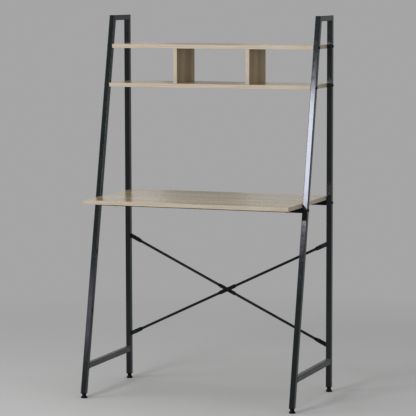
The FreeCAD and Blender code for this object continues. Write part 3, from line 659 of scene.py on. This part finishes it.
class LADDERDESK_OT_side_frames(Operator):
    """Make the welded tube frame of each side"""

    bl_idname = "ladder_desk.side_frames"
    bl_label = "Side frames"

    def execute(self, context):
        settings = context.scene.ladder_desk.paint
        # The stretchers and their welds get the coat painted a lighter grey, as a painted sheen
        glossy, painted_sheen = powder_coat(settings), powder_coat(settings, "painted_sheen_")
        level, lean = (0, 0, 1), np.array([0, math.cos(LEAN), -math.sin(LEAN)])
        under_bar, low_bar = TOP - TUBE / 2, middle("right_stretcher")[2]
        bar_start = front_face(low_bar) + SLANTED_TUBE
        front_mitre = np.array([0, TUBE, front_face(TOP - TUBE) + SLANTED_TUBE - front_face(TOP)])
        for name, sign in SIGN.items():
            x = sign * LEG_X
            front_foot = (x, leg_y("front", LEG_END), LEG_END)
            front_corner = (x, leg_y("front", under_bar), under_bar)
            rear_corner = (x, REAR_Y, under_bar)
            tubes = {
                "front_leg": (front_foot, front_corner, (level, front_mitre)),
                "rear_leg": ((x, REAR_Y, LEG_END), rear_corner, (level, (0, -1, 1))),
                "top_bar": (front_corner, rear_corner, (front_mitre, (0, -1, 1))),
                "stretcher": ((x, bar_start, low_bar), (x, REAR_LOW[1], low_bar), (lean, (0, 1, 0))),
            }
            for part, (start, end, cuts) in tubes.items():
                tube = member(start, end, (1, 0, 0), cuts, settings.corner)
                paint = painted_sheen if part == "stretcher" else glossy
                put(f"{name}_{part}_tube", tube, paint, [f"{name}_{part}"])
            seam = rectangle(TUBE, TUBE, settings.corner, 8)
            *ends, cuts = tubes["stretcher"]
            beads = [
                weld(seam, end, (0, 1, 0), (1, 0, 0), cut, settings.bead)
                for end, cut in zip(ends, cuts)
            ]
            put(f"{name}_stretcher_welds", joined(beads), painted_sheen)
        return {"FINISHED"}


class LADDERDESK_OT_desk_rails(Operator):
    """Make the two cross rails under the desk top"""

    bl_idname = "ladder_desk.desk_rails"
    bl_label = "Desk rails"

    def execute(self, context):
        settings = context.scene.ladder_desk.paint
        for end in ENDS:
            node = f"{end}_desk_rail"
            low, high = box(node)
            y, z = middle(node)[1:]
            square_cuts = ((1, 0, 0), (1, 0, 0))
            tube = member((low[0], y, z), (high[0], y, z), (0, 1, 0), square_cuts, settings.corner)
            # The rails' coat is painted darker, as painted shade under the desk top
            put(f"{node}_tube", tube, powder_coat(settings, "matt_"), [node])
        return {"FINISHED"}


class LADDERDESK_OT_boards(Operator):
    """Face the desk top, shelves and dividers, and band their edges"""

    bl_idname = "ladder_desk.boards"
    bl_label = "Boards and edging"

    def execute(self, context):
        settings = context.scene.ladder_desk.boards
        band = abs_edging(settings)
        for part, roughness, boards in (
            ("", settings.roughness, ["desk_top"]),
            ("_shelf", settings.shelf_roughness, ["upper_shelf", "lower_shelf"]),
            ("_upright", settings.upright_roughness, ["left_divider", "right_divider"]),
        ):
            coat(oak_melamine(settings, part, roughness), *boards)
        for board in ("desk_top", "upper_shelf", "lower_shelf"):
            low, high = box(board)
            width, depth, height = high - low
            thickness = box(f"{board}_edging")[1][0] - high[0]
            outline = rectangle(width, depth, 0.4 * MM, 4)
            ring = edge_band(outline, height, thickness, settings.band_round)
            ring = placed(ring, (low + high) / 2)
            put(f"{board}_edge_band", ring, band, [f"{board}_edging"])
        for name in SIGN:
            node, board_low = f"{name}_divider_edging", box(f"{name}_divider")[0]
            low, high = box(node)
            width, depth = high[0] - low[0], board_low[1] - low[1]
            outline = rectangle(width, depth, 0.45 * depth, 4)
            strip, x = prism(outline, [(low[2], 0, 0), (high[2], 0, 0)]), (low[0] + high[0]) / 2
            strips = [placed(strip, (x, y, 0)) for y in (low[1] + depth / 2, high[1] - depth / 2)]
            put(f"{name}_divider_edge_bands", joined(strips), band, [node])
        return {"FINISHED"}


def flattened_tube(half_flat):
    """Round tube pressed flat at its ends and middle, along Z, with its thickness along X.

    The section is a stadium (t cos a, t sin a + or - (w - t)). Its half thickness t and half width
    w blend from round to flat by a smooth step, and w shrinks in the round tips as an ellipse's does.
    """
    radius, flat_width = 5 * MM, 7.3 * MM
    end_flat, crimp, middle_flat, beyond_bolt = 38 * MM, 12 * MM, 30 * MM, 25.5 * MM
    tip = BRACE_BOLT_AT + beyond_bolt
    outer = tip - end_flat
    near_end = np.linspace(outer - crimp, outer, 13)
    near_tip = tip - flat_width * (1 - np.sin(np.linspace(0, 0.48 * math.pi, 9)))
    near_middle = np.linspace(middle_flat, middle_flat + crimp, 13)
    half = np.concatenate([near_middle, near_end, near_tip])
    station = np.concatenate([-half[::-1], half])
    distance = np.abs(station)
    ends = np.clip((distance - outer + crimp) / crimp, 0, 1)
    crossing = np.clip((middle_flat + crimp - distance) / crimp, 0, 1)
    flat = np.maximum(ends, crossing)
    flat = flat * flat * (3 - 2 * flat)
    t = radius + (half_flat - radius) * flat
    w = radius + (flat_width - radius) * flat
    beyond = np.clip((distance - tip + flat_width) / flat_width, 0, 1)
    shift = np.maximum(w * np.sqrt(1 - beyond ** 2) - t, 0.02 * MM)
    arc = np.linspace(0, math.pi, 9)
    angle = np.concatenate([arc, arc + math.pi])
    side = np.repeat([1, -1], len(arc))
    x = t[:, None] * np.cos(angle)
    y = t[:, None] * np.sin(angle) + shift[:, None] * side
    z = np.broadcast_to(station[:, None], x.shape)
    return skin(np.stack([x, y, z], 2), np.abs(np.sin(angle)) * flat[:, None])


def brace_tab(root, inward, side, sign, bead):
    """Plate from a rear leg's inner face to beyond the brace's bolt, and the weld round its root.

    The root's edge lies on the leg's face, so across the plate it shifts along by b * slant.
    """
    length, half, thickness = 39 * MM, 8 * MM, 3 * MM
    normal = np.array([0, side, 0])
    across = np.cross(normal, inward)
    slant = -across[0] / inward[0]
    corners = [(-half * slant, -half), (length, -half), (length, half), (half * slant, half)]
    plate = prism(rounded_outline(corners, 1.5 * MM), rim(0, thickness, 0.3 * MM))
    seam = rectangle(2 * half - 2 * MM, thickness, 1 * MM, 8)
    bead_line = weld(seam, root + normal * thickness / 2, -inward, across, (sign, 0, 0), 0.7 * bead)
    return [placed(plate, root, inward, normal), bead_line]


class LADDERDESK_OT_brace(Operator):
    """Make the crossed brace with its flattened ends, and the tabs that hold it"""

    bl_idname = "ladder_desk.brace"
    bl_label = "Cross brace"

    def execute(self, context):
        settings = context.scene.ladder_desk.paint
        # The braces' coat is painted darker, as painted shade
        glossy, matt = powder_coat(settings), powder_coat(settings, "matt_")
        centre = np.array([0, REAR_Y, BRACE_CROSSING])
        direction = BRACE_REACH / BRACE_BOLT_AT
        half_flat = abs(middle("falling_brace")[1] - REAR_Y)
        tube = flattened_tube(half_flat)
        for name, side in (("falling", -1), ("rising", 1)):
            place = (0, REAR_Y + side * half_flat, BRACE_CROSSING)
            bar = placed(tube, place, (0, 1, 0), direction * (1, 1, side))
            put(f"{name}_brace_tube", bar, matt, [f"{name}_brace"])
        for name, sign in SIGN.items():
            shapes = []
            for side in (1, -1):
                inward = direction * (-sign, 1, side * sign)
                root = centre - inward * INNER_X / direction[0]
                shapes += brace_tab(root, inward, side, sign, settings.bead)
            plates, node = joined(shapes), f"{name}_brace_tabs"
            put(f"{name}_brace_tab_plates", plates, glossy, [node])
        return {"FINISHED"}


def leg_plug(node, end):
    """Plug that leans with its leg: a flange under the tube, a block inside it and a bore for the stem.

    Its rings go up the outside, in over the block's top and down the bore, whose points are the
    outline's own P at bore * P / |P|. Each ring lies about the leg's middle at its height.
    """
    low, high = box(node)
    bore, wall = 4.05 * MM, 1.6 * MM
    outline = rectangle(TUBE, SLANTED_TUBE if end == "front" else TUBE, 1.8 * MM)
    outside = [(height, inset) for height, inset, _ in rim(low[2], LEG_END, 0.5 * MM)[:5]]
    outside += [(LEG_END, 0), (LEG_END, wall), (high[2] - 1 * MM, wall), (high[2], wall + 1 * MM)]
    rings = [outline.points - inset * outline.normals for _, inset in outside]
    rings += 2 * [bore * outline.points / np.linalg.norm(outline.points, axis=1)[:, None]]
    heights = np.array([height for height, _ in outside] + [high[2], low[2]])
    x, y = np.stack(rings).transpose(2, 0, 1)
    y = y + np.array([leg_y(end, height) for height in heights])[:, None]
    return skin(np.stack([x, y, np.broadcast_to(heights[:, None], x.shape)], 2), loop=True)


def put_stem(foot, settings):
    """Threaded stem of a foot."""
    low, high = box(f"{foot}_stem")
    radius = (high[0] - low[0]) / 2
    screw = thread(radius, 0.65 * MM, settings.thread_pitch, high[2] - low[2])
    x, y, _ = (low + high) / 2
    screw = placed(screw, (x, y, low[2]))
    put(f"{foot}_thread", screw, zinc_plate(settings), [f"{foot}_stem"], foot)


def put_pad(foot, nylon):
    """Pad of a foot: a thick round disc, a waist, and a collar that widens again under the plug.

    The radius is waist + (disc - waist) * (1 - t) ^ 1.6 up to the waist and waist + (collar - waist)
    * t ^ 2 above it, where t climbs from 0 to 1 along each part.
    """
    low, high = box(f"{foot}_pad")
    radius, top = (high[0] - low[0]) / 2, high[2]
    waist, collar, bore, shoulder, lip = 7.4 * MM, 9.8 * MM, 4.1 * MM, 0.9 * MM, 0.6 * MM
    disc_top, waist_height, collar_height = 5.6 * MM, 12.6 * MM, top - lip
    t = np.linspace(0, 1, 10)
    flare = waist + (radius - shoulder - waist) * (1 - t) ** 1.6
    widening = waist + (collar - waist) * t[1:] ** 2
    disc = [(height, radius - inset, edge) for height, inset, edge in rim(0, disc_top, 1.7 * MM)]
    body = [*zip(disc_top + (waist_height - disc_top) * t, flare, 0 * t)]
    body += zip(waist_height + (collar_height - waist_height) * t[1:], widening, 0 * t[1:])
    mouth = [(top, collar - lip, 0.6), (top, bore, 0), (top - 3 * MM, bore, 0)]
    x, y, _ = (low + high) / 2
    shape = placed(turned(disc[:-3] + body + mouth), (x, y, 0))
    put(f"{foot}_pad_moulding", shape, nylon, [f"{foot}_pad"], foot)


class LADDERDESK_OT_feet(Operator):
    """Make the leg plugs, the threaded stems and the round pads of the levelling feet"""

    bl_idname = "ladder_desk.feet"
    bl_label = "Levelling feet"

    def execute(self, context):
        settings = context.scene.ladder_desk.fittings
        nylon = black_nylon(settings)
        for name, sign in SIGN.items():
            for end in ENDS:
                foot, node = f"{name}_{end}_foot", f"{name}_{end}_leg_plug"
                plug = placed(leg_plug(node, end), (sign * LEG_X, 0, 0))
                put(f"{node}_cap", plug, nylon, [node])
                put_stem(foot, settings)
                put_pad(foot, nylon)
        return {"FINISHED"}


def put_brace_fasteners(oxide, zinc):
    """Bolts and nuts of the brace: each bolt goes through a tab and a tube's flat, or two flats."""
    bolt = button_bolt(*BRACE_BOLT, 12 * MM)
    nut = hexagon_nut(8 * MM, 4 * MM, 5 * MM)
    plate, flat = 3 * MM, 2 * MM
    heads, nuts = [], []
    for turn, under_head, under_nut in ((-1, flat, plate), (1, plate, flat)):
        for side in (-1, 1):
            x, z = side * BRACE_REACH[0], BRACE_CROSSING + turn * side * BRACE_REACH[2]
            heads.append((x, REAR_Y - under_head, z))
            nuts.append((x, REAR_Y + under_nut, z))
    middle_head = [(0, REAR_Y - flat, BRACE_CROSSING)]
    middle_nut = [(0, REAR_Y + flat, BRACE_CROSSING)]
    for node, shape, places, way, material, slot in (
        ("brace_end_bolts", bolt, heads, -1, oxide, "black_bolt"),
        ("brace_centre_bolt", bolt, middle_head, -1, oxide, "black_bolt"),
        ("brace_end_nuts", nut, nuts, 1, zinc, "zinc_steel"),
        ("brace_centre_nut", nut, middle_nut, 1, zinc, "zinc_steel"),
    ):
        shapes = [placed(shape, place, (1, 0, 0), (0, way, 0)) for place in places]
        put(f"{node}_steel", joined(shapes), material, [node])


def put_board_screws(zinc):
    """Screws up through the rails into the desk top, and through the shelves into the dividers."""
    rail_screw = button_bolt(*RAIL_SCREW, 31 * MM)
    under_rail = box("front_desk_rail")[0][2]
    far_x = box("desk_top_screws")[1][0] - RAIL_SCREW[1] / 2
    screws = [
        placed(rail_screw, (x, middle(f"{end}_desk_rail")[1], under_rail), (1, 0, 0), (0, 0, -1))
        for x in (-far_x, 0, far_x) for end in ENDS
    ]
    put("desk_top_screws_steel", joined(screws), zinc, ["desk_top_screws"])
    shelf_screw = countersunk_screw(*DIVIDER_SCREW, 46 * MM)
    _, head, sunk, _ = DIVIDER_SCREW
    for shelf, up, corner in (("upper", 1, 1), ("lower", -1, 0)):
        node = f"{shelf}_divider_screws"
        low, high = box(node)
        z = box(f"{shelf}_shelf")[corner][2] - up * sunk
        screws = [
            placed(shelf_screw, (middle(f"{name}_divider")[0], y, z), (1, 0, 0), (0, 0, up))
            for name in SIGN for y in (low[1] + head / 2, high[1] - head / 2)
        ]
        put(f"{node}_steel", joined(screws), zinc, [node])


class LADDERDESK_OT_fasteners(Operator):
    """Make the bolts, nuts and screws, and finish the steel hidden in the tubes and boards"""

    bl_idname = "ladder_desk.fasteners"
    bl_label = "Fasteners"

    def execute(self, context):
        settings = context.scene.ladder_desk.fittings
        oxide, zinc = black_oxide(settings), zinc_plate(settings)
        for board, length in (("desk_rail", 34), ("upper_shelf", 50), ("lower_shelf", 50)):
            node, bolt = f"{board}_bolts", button_bolt(*FRAME_BOLT, length * MM)
            height = middle(node)[2]
            bolts = [
                placed(bolt, (sign * OUTER_X, leg_y(end, height), height), (0, sign, 0), (sign, 0, 0))
                for sign in SIGN.values() for end in ENDS
            ]
            put(f"{node}_steel", joined(bolts), oxide, [node])
        coat(zinc, "desk_rail_nuts", "upper_shelf_dowels", "lower_shelf_dowels")
        put_brace_fasteners(oxide, zinc)
        put_board_screws(zinc)
        return {"FINISHED"}


# Lamps: name, place, what it looks at, size, the setting of its power and its share of that
LAMPS = (
    ("front_soft_box", (-0.76, -3.4, 2.085), (0.41, -0.05, 0.9), (1.0, 0.68), "front_power", 1),
    ("left_soft_box", (-3.2, -2.2, 2.2), (0, 0, 0.7), (2.0, 2.0), "left_power", 1),
    ("low_card", (-2.84, -5.5, 1.66), (-0.41, -0.17, 0.3), (0.8, 0.45), "low_power", 1),
    ("top_soft_box", (0, 0, 4.0), (0, 0.001, 0), (3.0, 3.0), "top_power", 1),
    ("left_back_card", (-3.4, 5.0, 1.9), (0, 0, 0.9), (2.3, 1.6), "back_power", 1),
    ("right_back_card", (-1.25, 5.0, 1.9), (0, 0, 0.9), (0.8, 1.6), "back_power", 0.25),
    ("right_card", (3.3, -1.9, 1.6), (0, 0, 1.0), (1.6, 1.2), "right_power", 1),
)


def seen(tree):
    """1 for the eye, gloss and glass, and 0 for the light that falls on things."""
    camera, glossy, clear = (
        add(tree, "LightPath", output=f"Is {kind} Ray") for kind in ("Camera", "Glossy", "Transmission")
    )
    either = add(tree, "Math", {0: camera, 1: glossy}, operation="MAXIMUM")
    return add(tree, "Math", {0: either, 1: clear}, operation="MAXIMUM")


def make_floor(settings):
    """Flat floor that takes the desk's shadow near by and fades to the backdrop further out."""
    depth, reach, rim_points = 0.02, 30.0, 96
    disc = turned([(-depth, reach, 0), (0, reach, 0)], rim_points)
    mesh = bpy.data.meshes.new("floor")
    mesh.from_pydata(disc.points.tolist(), [], disc.faces)
    material = bpy.data.materials.new("matt_studio_floor")
    material.use_nodes = True
    tree = material.node_tree
    tree.nodes.clear()
    place = add(tree, "TexCoord", output="Object")
    distance = add(tree, "VectorMath", {0: place}, "Value", operation="LENGTH")
    fade = add(tree, "MapRange", {"Value": distance, "From Min": 0.7, "From Max": 2.6})
    plain = add(tree, "Math", {0: fade, 1: seen(tree)}, operation="MULTIPLY")
    matt = add(tree, "BsdfPrincipled", {"Base Color": settings.floor, "Roughness": 0.9})
    glow = add(tree, "Emission", {"Color": settings.backdrop, "Strength": 1.0})
    add(tree, "OutputMaterial", {"Surface": add(tree, "MixShader", {0: plain, 1: matt, 2: glow})})
    mesh.materials.append(material)
    floor = bpy.data.objects.new("floor", mesh)
    bpy.context.scene.collection.objects.link(floor)


def make_world(scene, settings):
    """Even light from all round; the eye, gloss and glass see the backdrop instead."""
    world = bpy.data.worlds.new("studio")
    world.use_nodes = True
    tree = world.node_tree
    tree.nodes.clear()
    light = add(tree, "Background", {"Color": linear("#FFFFFF"), "Strength": settings.daylight})
    backdrop = add(tree, "Background", {"Color": settings.backdrop, "Strength": 1.0})
    sides = add(tree, "MixShader", {0: seen(tree), 1: light, 2: backdrop})
    add(tree, "OutputWorld", {"Surface": sides})
    scene.world = world


def soft_box(name, place, target, size, power):
    """Rectangular soft light that looks at a point."""
    light = bpy.data.lights.new(name, "AREA")
    light.shape = "RECTANGLE"
    light.size, light.size_y = size
    light.energy = power
    lamp = bpy.data.objects.new(name, light)
    lamp.visible_camera = False
    lamp.location = place
    lamp.rotation_euler = (Vector(target) - Vector(place)).to_track_quat("-Z", "Y").to_euler()
    bpy.context.scene.collection.objects.link(lamp)


def make_camera(scene):
    """Camera to the right of the desk's middle and just above its shelves."""
    azimuth, elevation, roll = (math.radians(angle) for angle in (20.98, 6.14, -0.13))
    distance, target = 7.95, Vector((0.0047, 0, 0.7068))
    picture, focal, sensor = 416, 2134, 36.0
    toward = Vector((math.sin(azimuth) * math.cos(elevation), -math.cos(azimuth) * math.cos(elevation),
                     math.sin(elevation)))
    lens = bpy.data.cameras.new("camera")
    lens.sensor_width = sensor
    lens.lens = sensor * focal / picture
    camera = bpy.data.objects.new("camera", lens)
    turn = (-toward).to_track_quat("-Z", "Y").to_matrix() @ Matrix.Rotation(roll, 3, "Z")
    camera.matrix_world = Matrix.Translation(target + distance * toward) @ turn.to_4x4()
    scene.collection.objects.link(camera)
    scene.camera = camera


class LADDERDESK_OT_studio(Operator):
    """Set up the floor, the lights and the camera"""

    bl_idname = "ladder_desk.studio"
    bl_label = "Studio"

    def execute(self, context):
        settings = context.scene.ladder_desk.studio
        context.scene.view_settings.view_transform = "Standard"
        make_floor(settings)
        make_world(context.scene, settings)
        for name, place, target, size, power, share in LAMPS:
            soft_box(name, place, target, size, share * getattr(settings, power))
        make_camera(context.scene)
        return {"FINISHED"}


OPERATORS = (
    LADDERDESK_OT_studio, LADDERDESK_OT_side_frames, LADDERDESK_OT_desk_rails, LADDERDESK_OT_boards,
    LADDERDESK_OT_brace, LADDERDESK_OT_feet, LADDERDESK_OT_fasteners,
)


class LADDERDESK_PT_panel(Panel):
    """Desk panel in the 3D view's sidebar"""

    bl_idname = "LADDERDESK_PT_panel"
    bl_label = "Ladder desk"
    bl_space_type = "VIEW_3D"
    bl_region_type = "UI"
    bl_category = "Desk"

    def draw(self, context):
        settings = context.scene.ladder_desk
        for operator in OPERATORS:
            self.layout.operator(operator.bl_idname)
        for group in ("paint", "boards", "fittings", "studio"):
            part = getattr(settings, group)
            column = self.layout.column(heading=group.capitalize())
            for name in part.bl_rna.properties.keys():
                if name not in ("rna_type", "name"):
                    column.prop(part, name)


CLASSES = (
    LadderDeskPaint, LadderDeskBoards, LadderDeskFittings, LadderDeskStudio, LadderDeskSettings,
    *OPERATORS, LADDERDESK_PT_panel,
)


def register():
    """Register the classes and hang the settings on the scene."""
    for each in CLASSES:
        bpy.utils.register_class(each)
    bpy.types.Scene.ladder_desk = PointerProperty(type=LadderDeskSettings)


def unregister():
    """Undo register."""
    del bpy.types.Scene.ladder_desk
    for each in reversed(CLASSES):
        bpy.utils.unregister_class(each)


def main():
    """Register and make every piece."""
    register()
    for operator in OPERATORS:
        getattr(bpy.ops.ladder_desk, operator.bl_idname.split(".")[1])()


if __name__ == "__main__":
    main()
